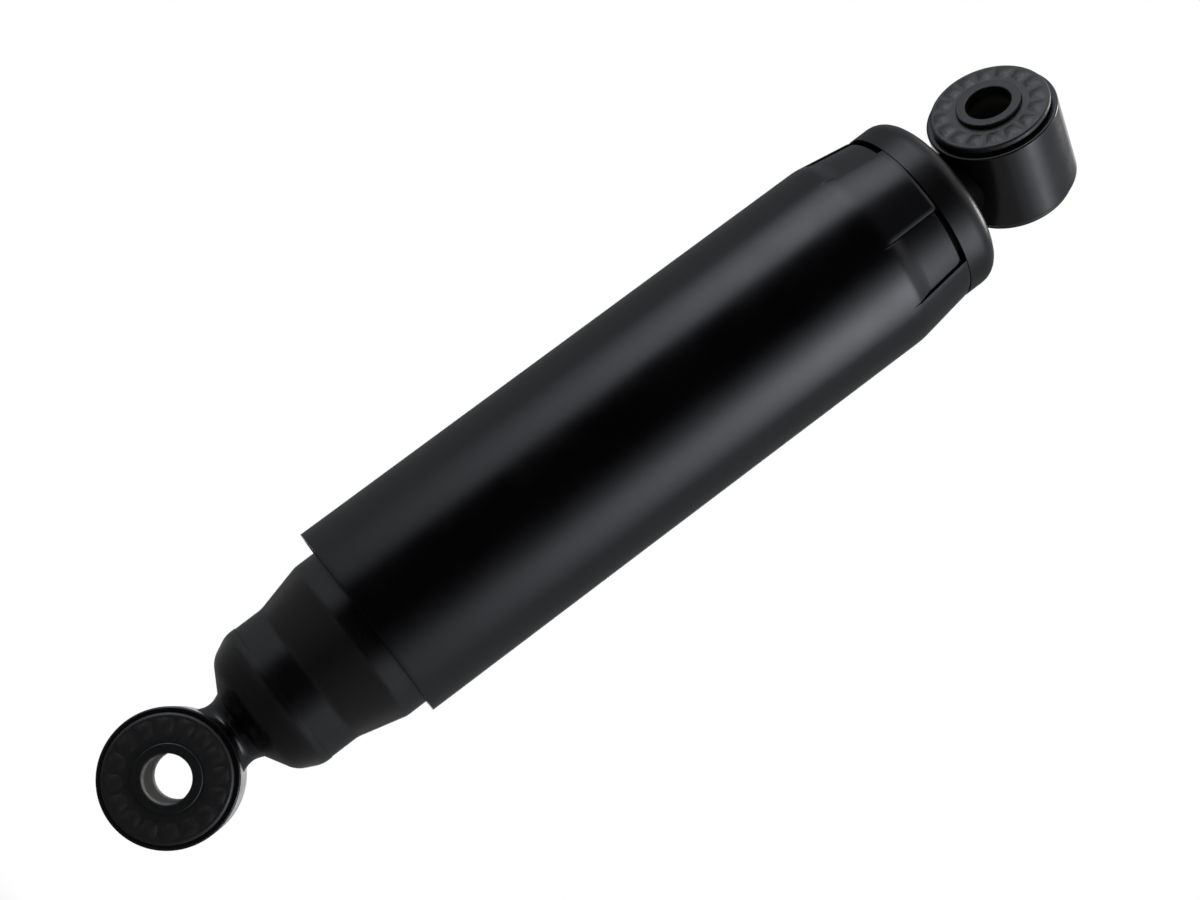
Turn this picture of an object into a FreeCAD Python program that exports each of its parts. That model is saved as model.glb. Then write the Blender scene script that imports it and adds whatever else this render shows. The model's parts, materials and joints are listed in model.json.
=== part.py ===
import FreeCAD
import Part

import math
import os

# Twin-tube telescopic shock absorber with two rubber-bushed eyes and a plastic dust tube.
# Sizes are in millimetres. The origin is the centre of the lower eye, +Z runs along the shock to the
# upper eye, and the lower eye's bore lies along Y. The shock is modelled fully closed.

# Eyes: steel ring, flanged rubber bush and bolt sleeve, alike at both ends
EYE_OD = 47.2
EYE_WALL = 4.0
EYE_LENGTH = 33.5
EYE_EDGE = 0.8
SLEEVE_BORE = 16.5
SLEEVE_WALL = 3.5
SLEEVE_LENGTH = 44.0
SLEEVE_EDGE = 0.5
BUSH_FLANGE_OD = 43.2
BUSH_FLANGE_THICK = 2.75
BUSH_FLANGE_GAP = 0.7
BUSH_FLANGE_EDGE = 1.1
UPPER_EYE_TURN = -43.7

# Weld necks between the eyes and the shock
WELD_INSET = 3.3
WELD_HOLLOW = 1.4
WELD_ROOT = 0.5
LOWER_WELD_GAP = 1.9
UPPER_WELD_GAP = 6.15

# Tubes, from the piston's bore outwards
PRESSURE_BORE = 41.3
PRESSURE_WALL = 1.8
NECK_GAP = 2.75
RESERVOIR_GAP = 7.3
RESERVOIR_WALL = 2.0
NECK_LENGTH = 10.8
TAPER_LENGTH = 17.5
TAPER_ROUND = 10.0
ROLL_ROUND = 3.5
ROLL_REACH = 6.0

# Pressed base cap, from its flat middle out to the rim
BASE_WALL = 3.0
BASE_PROUD = 0.2
BASE_FLAT_R = 8.5
BASE_DISH_INSET = 4.0
BASE_DISH_RISE = 8.5
BASE_SIDE_RISE = 8.0
BASE_RIM_RISE = 4.0
BASE_ROUND = 10.0

# Dust tube and its ring of snap tongues
DUST_GAP = 3.75
DUST_WALL = 2.0
DUST_LENGTH = 238.5
CONE_LENGTH = 23.2
CONE_DROP = 3.75
CONE_ROUND = 8.0
TONGUE_COUNT = 4
TONGUE_ANGLE = 38.5
FIRST_TONGUE = -82.5
TONGUE_STEP = 0.9
TONGUE_SHORT = 0.9
TONGUE_LIP_HEIGHT = 1.4
TONGUE_LIP_REACH = 1.0
SLIT_WIDTH = 0.6

# Upper cap that carries the dust tube
CAP_WALL = 2.5
CAP_PROUD = 0.35
CAP_HEIGHT = 14.0
CAP_EDGE = 7.0
CAP_BEAD_HEIGHT = 5.3
CLOSED_CLEARANCE = 13.06

# Rod, its stroke and its rebound stop
STROKE = 160.0
ROD_OD = 18.0
ROD_STUD_OD = 12.0
ROD_SPIGOT_OD = 14.0
ROD_END_PROUD = 1.5
ROD_END_CLEARANCE = 3.0
STOP_RISE = 2.5
STOP_HEIGHT = 3.0
STOP_OD = 28.0
STOP_GROOVE = 0.8
BUMPER_HEIGHT = 7.0
BUMPER_OD = 30.0
BUMPER_EDGE = 1.75
BUMPER_CLEARANCE = 0.5

# Valve plates, springs and ports, alike in the piston and the foot valve
CHECK_THICK = 0.8
SPRING_THICK = 0.4
SPRING_RISE = 1.8
SPRING_FINGERS = 6
SPRING_GAP = 5.5
PORT_COUNT = 8
PORT_OD = 3.8
BLEED_COUNT = 6
BLEED_OD = 2.8
BLEED_INSET = 2.6
SHIM_THICK = 0.4
SHIM_COUNT = 4
SHIM_INSET = 1.5

# Piston
PISTON_HEIGHT = 16.0
PISTON_GAP = 0.3
PISTON_BOSS_OD = 16.0
PISTON_CHECK_EDGE = 3.0
BAND_HEIGHT = 10.0
BAND_THICK = 1.2
BACKING_OD = 26.0
BACKING_THICK = 2.0
PISTON_NUT_FLATS = 19.0
PISTON_NUT_HEIGHT = 9.0

# Foot valve
VALVE_FLANGE_THICK = 4.0
VALVE_SPIGOT = 8.0
VALVE_FOOT_INSET = 1.7
VALVE_FOOT_WALL = 3.0
VALVE_FOOT_HEIGHT = 10.0
VALVE_FOOT_COUNT = 6
VALVE_SLOT_WIDTH = 6.0
VALVE_SLOT_HEIGHT = 6.0
VALVE_BOSS_OD = 12.0
VALVE_CHECK_EDGE = 4.0
VALVE_BOLT_OD = 8.0
VALVE_BOLT_HEAD_OD = 13.0
VALVE_BOLT_HEAD_HEIGHT = 3.0
VALVE_BOLT_END = 1.5
VALVE_NUT_FLATS = 13.0
VALVE_NUT_HEIGHT = 6.5

# Rod guide and seal
GUIDE_SPIGOT = 8.0
GUIDE_FLANGE = 11.0
GUIDE_RECESS_DEPTH = 4.0
GUIDE_RECESS_WALL = 6.0
GUIDE_BUSH_WALL = 1.5
GUIDE_BUSH_INSET = 1.0
GUIDE_DRAIN_OD = 3.0
GUIDE_DRAIN_COUNT = 4
SEAL_HEIGHT = 7.0
SEAL_LIP_WALL = 2.5
SEAL_LIP_DROP = 3.0
GARTER_WIRE = 1.4

# Fits: a running fit, a pressed fit and open clearance, all on the radius
RUNNING = 0.04
PRESSED = 0.02
CLEAR = 0.3

# Radii worked out from the sizes
EYE_R = EYE_OD / 2
EYE_BORE_R = EYE_R - EYE_WALL
SLEEVE_R = SLEEVE_BORE / 2 + SLEEVE_WALL
PRESSURE_BORE_R = PRESSURE_BORE / 2
PRESSURE_R = PRESSURE_BORE_R + PRESSURE_WALL
NECK_R = PRESSURE_R + NECK_GAP + RESERVOIR_WALL
RESERVOIR_BORE_R = PRESSURE_R + RESERVOIR_GAP
RESERVOIR_R = RESERVOIR_BORE_R + RESERVOIR_WALL
BASE_R = NECK_R + BASE_PROUD
DUST_R = RESERVOIR_R + DUST_GAP + DUST_WALL
DUST_END_R = DUST_R - CONE_DROP
BEAD_R = DUST_END_R - DUST_WALL
LIP_BORE_R = BEAD_R - TONGUE_LIP_REACH
CAP_R = DUST_END_R + CAP_PROUD
ROD_R = ROD_OD / 2
STUD_R = ROD_STUD_OD / 2
SPIGOT_R = ROD_SPIGOT_OD / 2
WELD_TOE_R = EYE_LENGTH / 2 - WELD_INSET
FOOT_R = PRESSURE_BORE_R - VALVE_FOOT_INSET
FOOT_BORE_R = FOOT_R - VALVE_FOOT_WALL
VALVE_BOSS_R = VALVE_BOSS_OD / 2
VALVE_BOLT_R = VALVE_BOLT_OD / 2
VALVE_CHECK_R = PRESSURE_BORE_R - VALVE_CHECK_EDGE
VALVE_PORT_CIRCLE = FOOT_BORE_R - PORT_OD / 2 - CLEAR
VALVE_BLEED_CIRCLE = VALVE_BOSS_R + BLEED_INSET
PISTON_BOSS_R = PISTON_BOSS_OD / 2
PISTON_CHECK_R = PRESSURE_BORE_R - PISTON_CHECK_EDGE
PISTON_PORT_CIRCLE = PISTON_CHECK_R - PORT_OD
PISTON_BLEED_CIRCLE = PISTON_BOSS_R + BLEED_INSET
BAND_R = PRESSURE_BORE_R - RUNNING

# Heights worked out from the lower eye upwards
BASE_Z = EYE_R + LOWER_WELD_GAP
BASE_DISH_Z = BASE_Z + BASE_DISH_RISE
BASE_SIDE_Z = BASE_DISH_Z + BASE_SIDE_RISE
SEAM_Z = BASE_SIDE_Z + BASE_RIM_RISE

BASE_OUTLINE = [
    (0.0, BASE_Z),
    (BASE_FLAT_R, BASE_Z, BASE_ROUND),
    (BASE_R - BASE_DISH_INSET, BASE_DISH_Z, BASE_ROUND),
    (BASE_R, BASE_SIDE_Z, BASE_ROUND),
    (BASE_R, SEAM_Z),
]
DISH_SLOPE = BASE_DISH_RISE / (BASE_R - BASE_DISH_INSET - BASE_FLAT_R)


def dish_under(radius):
    """Height of the base cap's underside where it slopes, at a radius."""
    return BASE_Z + (radius - BASE_FLAT_R) * DISH_SLOPE


def dish_floor(radius):
    """Height of the base cap's inside where it slopes, at a radius."""
    return dish_under(radius) + BASE_WALL * math.hypot(1.0, DISH_SLOPE)


FOOT_Z = dish_floor(FOOT_R) + PRESSED
VALVE_Z = FOOT_Z + VALVE_FOOT_HEIGHT
PRESSURE_Z = VALVE_Z + VALVE_FLANGE_THICK
VALVE_TOP_Z = PRESSURE_Z + VALVE_SPIGOT
VALVE_BOSS_Z = VALVE_TOP_Z + CHECK_THICK + SPRING_RISE
VALVE_HEAD_Z = VALVE_BOSS_Z + SPRING_THICK
VALVE_SHIMS_Z = VALVE_Z - SHIM_COUNT * SHIM_THICK
VALVE_NUT_Z = VALVE_SHIMS_Z - VALVE_NUT_HEIGHT

ROD_END_Z = VALVE_HEAD_Z + VALVE_BOLT_HEAD_HEIGHT + ROD_END_CLEARANCE
PISTON_NUT_Z = ROD_END_Z + ROD_END_PROUD
SHIMS_Z = PISTON_NUT_Z + PISTON_NUT_HEIGHT
PISTON_Z = SHIMS_Z + SHIM_COUNT * SHIM_THICK
PISTON_TOP_Z = PISTON_Z + PISTON_HEIGHT
BAND_Z = PISTON_Z + (PISTON_HEIGHT - BAND_HEIGHT) / 2
PISTON_BOSS_Z = PISTON_TOP_Z + CHECK_THICK + SPRING_RISE
BACKING_Z = PISTON_BOSS_Z + SPRING_THICK
SHOULDER_Z = BACKING_Z + BACKING_THICK
STOP_Z = SHOULDER_Z + STOP_RISE
BUMPER_Z = STOP_Z + STOP_HEIGHT
BUMPER_TOP_Z = BUMPER_Z + BUMPER_HEIGHT

GUIDE_Z = BUMPER_TOP_Z + STROKE + BUMPER_CLEARANCE
PRESSURE_TOP_Z = GUIDE_Z + GUIDE_SPIGOT
GUIDE_TOP_Z = PRESSURE_TOP_Z + GUIDE_FLANGE
RECESS_Z = GUIDE_TOP_Z - GUIDE_RECESS_DEPTH
SEAL_TOP_Z = GUIDE_TOP_Z + SEAL_HEIGHT
RESERVOIR_TOP_Z = SEAL_TOP_Z + RESERVOIR_WALL

BEAD_Z = RESERVOIR_TOP_Z + CLOSED_CLEARANCE
BEAD_TOP_Z = BEAD_Z + CAP_BEAD_HEIGHT
LIP_Z = BEAD_TOP_Z + CLEAR
TONGUE_END_Z = LIP_Z + TONGUE_LIP_HEIGHT
DUST_END_Z = TONGUE_END_Z + TONGUE_SHORT
CAP_Z = DUST_END_Z + CLEAR
CAP_TOP_Z = CAP_Z + CAP_HEIGHT
CONE_Z = DUST_END_Z - CONE_LENGTH
DUST_Z = DUST_END_Z - DUST_LENGTH
UPPER_EYE_Z = CAP_TOP_Z + UPPER_WELD_GAP + EYE_R

ORIGIN = FreeCAD.Vector(0, 0, 0)
X_AXIS = FreeCAD.Vector(1, 0, 0)
Y_AXIS = FreeCAD.Vector(0, 1, 0)
Z_AXIS = FreeCAD.Vector(0, 0, 1)
SAME_POINT = 1e-6


def outline(corners):
    """Closed wire through (radius, height) corners; a third value rounds that corner."""
    points = [FreeCAD.Vector(corner[0], 0, corner[1]) for corner in corners]
    rounds = [corner[2] if len(corner) > 2 else 0.0 for corner in corners]
    arcs = []
    for i, point in enumerate(points):
        if not rounds[i]:
            arcs.append((point, point, point))
            continue
        back = (points[i - 1] - point).normalize()
        ahead = (points[(i + 1) % len(points)] - point).normalize()
        half = back.getAngle(ahead) / 2
        reach = rounds[i] / math.tan(half)
        middle = (back + ahead).normalize() * (rounds[i] / math.sin(half) - rounds[i])
        arcs.append((point + back * reach, point + middle, point + ahead * reach))
    edges = []
    for i, (start, middle, end) in enumerate(arcs):
        if rounds[i] > 0:
            edges.append(Part.Arc(start, middle, end).toShape())
        next_start = arcs[(i + 1) % len(arcs)][0]
        if not end.isEqual(next_start, SAME_POINT):
            edges.append(Part.LineSegment(end, next_start).toShape())
    return Part.Wire(edges)


def turned(corners, angle=360.0):
    """Solid turned about Z from an outline of (radius, height) corners."""
    return Part.Face(outline(corners)).revolve(ORIGIN, Z_AXIS, angle)


def sheet(bend_line, wall):
    """Outline of a pressed wall: a bend line, and the same line moved to its left by the wall."""
    points = [FreeCAD.Vector(point[0], 0, point[1]) for point in bend_line]
    ways = [(b - a).normalize() for a, b in zip(points, points[1:])]
    lefts = [FreeCAD.Vector(-way.z, 0, way.x) for way in ways]
    inner = []
    for i, point in enumerate(points):
        before, after = max(i - 1, 0), min(i, len(ways) - 1)
        left = (lefts[before] + lefts[after]) * (wall / (1 + lefts[before].dot(lefts[after])))
        outer_round = bend_line[i][2] if len(bend_line[i]) > 2 else 0.0
        turns_left = lefts[before].dot(ways[after]) > 0
        inner_round = max(outer_round + (-wall if turns_left else wall), 0.0) if outer_round else 0.0
        inner.append((point.x + left.x, point.z + left.z, inner_round))
    return list(bend_line) + inner[::-1]


def ring(inner, outer, low, high, edge=0.0):
    """Plain ring about Z, with its outer edges rounded."""
    return turned([(inner, low), (outer, low, edge), (outer, high, edge), (inner, high)])


def around(shape, count, first=0.0):
    """Copies of a shape, evenly spaced about Z."""
    return [shape.rotated(ORIGIN, Z_AXIS, first + 360.0 * i / count) for i in range(count)]


def drilled(shape, diameter, circle_r, count, low, high):
    """A piece with a circle of holes drilled through it along Z."""
    hole = Part.makeCylinder(diameter / 2, high - low, FreeCAD.Vector(circle_r, 0, low))
    return shape.cut(around(hole, count))


def hex_nut(flats, bore_r, low, height):
    """Hexagon nut with a plain bore."""
    corner = Part.Vertex(flats / math.sqrt(3), 0, low)
    points = [copy.Point for copy in around(corner, 6)]
    prism = Part.Face(Part.makePolygon(points + points[:1])).extrude(Z_AXIS * height)
    return prism.cut(Part.makeCylinder(bore_r, height, FreeCAD.Vector(0, 0, low)))


def shim_stack(bore_r, widest_r, top):
    """Pile of discs under a ported face, each narrower than the one above it, as one stepped ring."""
    corners = [(bore_r, top)]
    for i in range(SHIM_COUNT):
        radius = widest_r - SHIM_INSET * i
        corners += [(radius, top - SHIM_THICK * i), (radius, top - SHIM_THICK * (i + 1))]
    return turned(corners + [(bore_r, top - SHIM_THICK * SHIM_COUNT)])


def check_plate(boss_r, outer_r, bleed_circle, low):
    """Valve plate that lies on the ports and has holes over the bleeds."""
    plate = ring(boss_r + CLEAR, outer_r, low, low + CHECK_THICK)
    return drilled(plate, BLEED_OD, bleed_circle, BLEED_COUNT, low, low + CHECK_THICK)


def star_spring(bore_r, hub_r, tip_r, hub_z):
    """Star spring: a flat hub with fingers that bend down to the valve plate."""
    tip_z = hub_z - SPRING_RISE + RUNNING
    dish = turned(sheet([(bore_r, hub_z), (hub_r, hub_z), (tip_r, tip_z)], SPRING_THICK))
    gap = Part.makeBox(tip_r, SPRING_GAP, SPRING_RISE + SPRING_THICK)
    gap.translate(FreeCAD.Vector(hub_r + SPRING_THICK, -SPRING_GAP / 2, tip_z))
    return dish.cut(around(gap, SPRING_FINGERS))


def weld_neck(high, stands_on):
    """Hollow-sided neck of weld about Z, from inside the eye to the piece that it stands on."""
    low = math.sqrt(EYE_R**2 - WELD_TOE_R**2) - WELD_ROOT
    waist = FreeCAD.Vector(WELD_TOE_R - WELD_HOLLOW, 0, (low + high) / 2)
    side = Part.Arc(FreeCAD.Vector(WELD_TOE_R, 0, low), waist, FreeCAD.Vector(WELD_TOE_R, 0, high))
    ends = Part.makePolygon([
        FreeCAD.Vector(WELD_TOE_R, 0, high),
        FreeCAD.Vector(WELD_TOE_R, 0, high + WELD_ROOT),
        FreeCAD.Vector(0, 0, high + WELD_ROOT),
        FreeCAD.Vector(0, 0, low),
        FreeCAD.Vector(WELD_TOE_R, 0, low),
    ])
    neck = Part.Face(Part.Wire([side.toShape()] + ends.Edges)).revolve(ORIGIN, Z_AXIS, 360)
    return neck.cut(stands_on)


def along_y(shape):
    """Lay a piece that was turned about Z along Y."""
    return shape.rotated(ORIGIN, X_AXIS, -90)


def at_upper_eye(shape):
    """Move a piece of the lower eye to the upper eye, upside down and turned about the shock."""
    flipped = shape.rotated(ORIGIN, Y_AXIS, 180).rotated(ORIGIN, Z_AXIS, UPPER_EYE_TURN)
    return flipped.translated(FreeCAD.Vector(0, 0, UPPER_EYE_Z))


def eye_ring(neck):
    """Steel eye with its weld neck, its bore along Y."""
    half = EYE_LENGTH / 2
    body = along_y(ring(0.0, EYE_R, -half, half, EYE_EDGE))
    bore = along_y(Part.makeCylinder(EYE_BORE_R, 2 * EYE_LENGTH, FreeCAD.Vector(0, 0, -EYE_LENGTH)))
    return body.fuse(neck).cut(bore)


def bush_rubber():
    """Rubber bush: a plain middle in the eye and a flange outside each end of it."""
    inner = SLEEVE_R + RUNNING
    middle = EYE_BORE_R - PRESSED
    flange = BUSH_FLANGE_OD / 2
    root = EYE_LENGTH / 2 + BUSH_FLANGE_GAP
    face = root + BUSH_FLANGE_THICK
    side = [(inner, face), (flange, face, BUSH_FLANGE_EDGE), (flange, root, BUSH_FLANGE_EDGE), (middle, root)]
    mirrored = [(corner[0], -corner[1], *corner[2:]) for corner in reversed(side)]
    return along_y(turned(side + mirrored))


def bush_sleeve():
    """Steel sleeve that takes the bolt."""
    half = SLEEVE_LENGTH / 2
    return along_y(ring(SLEEVE_BORE / 2, SLEEVE_R, -half, half, SLEEVE_EDGE))


def lower_eye_ring():
    """Lower eye, its weld neck shaped to the base cap."""
    cap = turned(BASE_OUTLINE + [(0.0, SEAM_Z)])
    return eye_ring(weld_neck(dish_under(WELD_TOE_R), cap))


def upper_eye_ring():
    """Upper eye, its weld neck standing on the upper cap around the rod's spigot."""
    foot_z = EYE_R + UPPER_WELD_GAP
    cap = Part.makeCylinder(CAP_R, CAP_HEIGHT, FreeCAD.Vector(0, 0, foot_z))
    spigot = Part.makeCylinder(SPIGOT_R + PRESSED, UPPER_WELD_GAP, FreeCAD.Vector(0, 0, EYE_R))
    return at_upper_eye(eye_ring(weld_neck(foot_z, cap)).cut(spigot))


def reservoir_tube():
    """Outer tube: narrow neck, taper, long body and an end rolled over the seal."""
    taper_z = SEAM_Z + NECK_LENGTH
    bend_line = [
        (NECK_R, SEAM_Z),
        (NECK_R, taper_z, TAPER_ROUND),
        (RESERVOIR_R, taper_z + TAPER_LENGTH, TAPER_ROUND),
        (RESERVOIR_R, RESERVOIR_TOP_Z, ROLL_ROUND),
        (RESERVOIR_R - ROLL_REACH, RESERVOIR_TOP_Z),
    ]
    return turned(sheet(bend_line, RESERVOIR_WALL))


def base_valve_body():
    """Foot valve: ported plate with a spigot in the pressure tube and feet on the base cap."""
    spigot_r = PRESSURE_BORE_R - PRESSED
    bore_r = VALVE_BOLT_R + PRESSED
    body = turned([
        (bore_r, VALVE_Z),
        (FOOT_BORE_R, VALVE_Z),
        (FOOT_BORE_R, dish_floor(FOOT_BORE_R) + PRESSED),
        (FOOT_R, FOOT_Z),
        (FOOT_R, VALVE_Z),
        (PRESSURE_R, VALVE_Z),
        (PRESSURE_R, PRESSURE_Z),
        (spigot_r, PRESSURE_Z),
        (spigot_r, VALVE_TOP_Z),
        (VALVE_BOSS_R, VALVE_TOP_Z),
        (VALVE_BOSS_R, VALVE_BOSS_Z),
        (bore_r, VALVE_BOSS_Z),
    ])
    slot = Part.makeBox(PRESSURE_R, VALVE_SLOT_WIDTH, FOOT_Z + VALVE_SLOT_HEIGHT)
    slot.translate(Y_AXIS * (-VALVE_SLOT_WIDTH / 2))
    body = body.cut(around(slot, VALVE_FOOT_COUNT))
    body = drilled(body, PORT_OD, VALVE_PORT_CIRCLE, PORT_COUNT, VALVE_Z, VALVE_TOP_Z)
    return drilled(body, BLEED_OD, VALVE_BLEED_CIRCLE, BLEED_COUNT, VALVE_Z, VALVE_TOP_Z)


def base_valve_bolt():
    """Bolt through the foot valve, its head on the star spring."""
    head_r = VALVE_BOLT_HEAD_OD / 2
    end_z = VALVE_NUT_Z - VALVE_BOLT_END
    top_z = VALVE_HEAD_Z + VALVE_BOLT_HEAD_HEIGHT
    return turned([
        (0.0, end_z),
        (VALVE_BOLT_R, end_z),
        (VALVE_BOLT_R, VALVE_HEAD_Z),
        (head_r, VALVE_HEAD_Z),
        (head_r, top_z),
        (0.0, top_z),
    ])


def piston():
    """Ported piston with a groove for its band and a boss for the valve plate."""
    piston_r = PRESSURE_BORE_R - PISTON_GAP
    groove_r = BAND_R - BAND_THICK - RUNNING
    groove_low = BAND_Z - RUNNING
    groove_high = BAND_Z + BAND_HEIGHT + RUNNING
    bore_r = STUD_R + PRESSED
    body = turned([
        (bore_r, PISTON_Z),
        (piston_r, PISTON_Z),
        (piston_r, groove_low),
        (groove_r, groove_low),
        (groove_r, groove_high),
        (piston_r, groove_high),
        (piston_r, PISTON_TOP_Z),
        (PISTON_BOSS_R, PISTON_TOP_Z),
        (PISTON_BOSS_R, PISTON_BOSS_Z),
        (bore_r, PISTON_BOSS_Z),
    ])
    body = drilled(body, PORT_OD, PISTON_PORT_CIRCLE, PORT_COUNT, PISTON_Z, PISTON_TOP_Z)
    return drilled(body, BLEED_OD, PISTON_BLEED_CIRCLE, BLEED_COUNT, PISTON_Z, PISTON_TOP_Z)


def piston_rod():
    """Rod: stud for the piston, ground body with a groove, and a spigot for the upper eye."""
    groove_r = ROD_R - STOP_GROOVE
    cap_under = CAP_TOP_Z - CAP_WALL
    spigot_top = CAP_TOP_Z + UPPER_WELD_GAP
    return turned([
        (0.0, ROD_END_Z),
        (STUD_R, ROD_END_Z),
        (STUD_R, SHOULDER_Z),
        (ROD_R, SHOULDER_Z),
        (ROD_R, STOP_Z),
        (groove_r, STOP_Z),
        (groove_r, BUMPER_Z),
        (ROD_R, BUMPER_Z),
        (ROD_R, cap_under),
        (SPIGOT_R, cap_under),
        (SPIGOT_R, spigot_top),
        (0.0, spigot_top),
    ])


def rod_guide():
    """Guide: spigot in the pressure tube, flange in the reservoir tube, recess for the seal's lip."""
    bore = ROD_R + GUIDE_BUSH_WALL + RUNNING + PRESSED
    recess_r = bore + GUIDE_RECESS_WALL
    body = turned([
        (bore, GUIDE_Z),
        (PRESSURE_BORE_R - PRESSED, GUIDE_Z),
        (PRESSURE_BORE_R - PRESSED, PRESSURE_TOP_Z),
        (RESERVOIR_BORE_R - PRESSED, PRESSURE_TOP_Z),
        (RESERVOIR_BORE_R - PRESSED, GUIDE_TOP_Z),
        (recess_r, GUIDE_TOP_Z),
        (recess_r, RECESS_Z),
        (bore, RECESS_Z),
    ])
    drain_circle = (PRESSURE_R + RESERVOIR_BORE_R) / 2
    return drilled(body, GUIDE_DRAIN_OD, drain_circle, GUIDE_DRAIN_COUNT, PRESSURE_TOP_Z, GUIDE_TOP_Z)


def guide_bush():
    """Bearing bush pressed in the guide."""
    inner = ROD_R + RUNNING
    return ring(inner, inner + GUIDE_BUSH_WALL, GUIDE_Z + GUIDE_BUSH_INSET, RECESS_Z - GUIDE_BUSH_INSET)


def oil_seal():
    """Seal: a thick rubber disc under the rolled end, with a lip round the rod."""
    inner = ROD_R + RUNNING
    outer = RESERVOIR_BORE_R - PRESSED
    lip_z = GUIDE_TOP_Z - SEAL_LIP_DROP
    shoulder = ROLL_ROUND - RESERVOIR_WALL + CLEAR
    return turned([
        (inner, lip_z),
        (inner + SEAL_LIP_WALL, lip_z),
        (inner + SEAL_LIP_WALL, GUIDE_TOP_Z),
        (outer, GUIDE_TOP_Z),
        (outer, SEAL_TOP_Z, shoulder),
        (inner, SEAL_TOP_Z),
    ])


def garter_spring():
    """Ring spring that closes the seal's lip."""
    wire_r = GARTER_WIRE / 2
    height = GUIDE_TOP_Z - SEAL_LIP_DROP / 2
    ring_r = ROD_R + RUNNING + SEAL_LIP_WALL + PRESSED + wire_r
    return Part.makeTorus(ring_r, wire_r, FreeCAD.Vector(0, 0, height))


def upper_cap():
    """Pressed cap: a bead that the tongues snap over, a groove above it and a deep flange."""
    neck_r = LIP_BORE_R - CLEAR
    bend_line = [
        (BEAD_R, BEAD_Z),
        (BEAD_R, BEAD_TOP_Z),
        (neck_r, BEAD_TOP_Z),
        (neck_r, CAP_Z),
        (CAP_R, CAP_Z),
        (CAP_R, CAP_TOP_Z, CAP_EDGE),
        (SPIGOT_R + PRESSED, CAP_TOP_Z),
    ]
    return turned(sheet(bend_line, CAP_WALL))


def dust_tube():
    """Dust tube: tongues in its coned end are set back, a little short, and hook over the cap's bead."""
    bend_line = [(DUST_R, DUST_Z), (DUST_R, CONE_Z, CONE_ROUND), (DUST_END_R, DUST_END_Z)]
    tube = turned(sheet(bend_line, DUST_WALL))

    cone_way = CONE_DROP / CONE_LENGTH
    set_back = sheet([
        (DUST_R + CLEAR * cone_way + TONGUE_STEP, CONE_Z - CLEAR),
        (DUST_END_R - CLEAR * cone_way + TONGUE_STEP, DUST_END_Z + CLEAR),
    ], 2 * TONGUE_STEP)
    above_tongue = [
        (LIP_BORE_R, TONGUE_END_Z),
        (DUST_R, TONGUE_END_Z),
        (DUST_R, DUST_END_Z + CLEAR),
        (LIP_BORE_R, DUST_END_Z + CLEAR),
    ]
    for corners in (set_back, above_tongue):
        tube = tube.cut(around(turned(corners, TONGUE_ANGLE), TONGUE_COUNT, FIRST_TONGUE))

    lip_r = DUST_END_R - DUST_WALL + TONGUE_STEP / 2
    lip = [(LIP_BORE_R, LIP_Z), (lip_r, LIP_Z), (lip_r, TONGUE_END_Z), (LIP_BORE_R, TONGUE_END_Z)]
    tube = tube.fuse(around(turned(lip, TONGUE_ANGLE), TONGUE_COUNT, FIRST_TONGUE)).removeSplitter()

    slit = Part.makeBox(DUST_R, SLIT_WIDTH, CONE_LENGTH)
    slit.translate(FreeCAD.Vector(LIP_BORE_R - CLEAR, -SLIT_WIDTH / 2, CONE_Z + SLIT_WIDTH))
    for side in (FIRST_TONGUE, FIRST_TONGUE + TONGUE_ANGLE):
        tube = tube.cut(around(slit, TONGUE_COUNT, side))
    return tube


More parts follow.
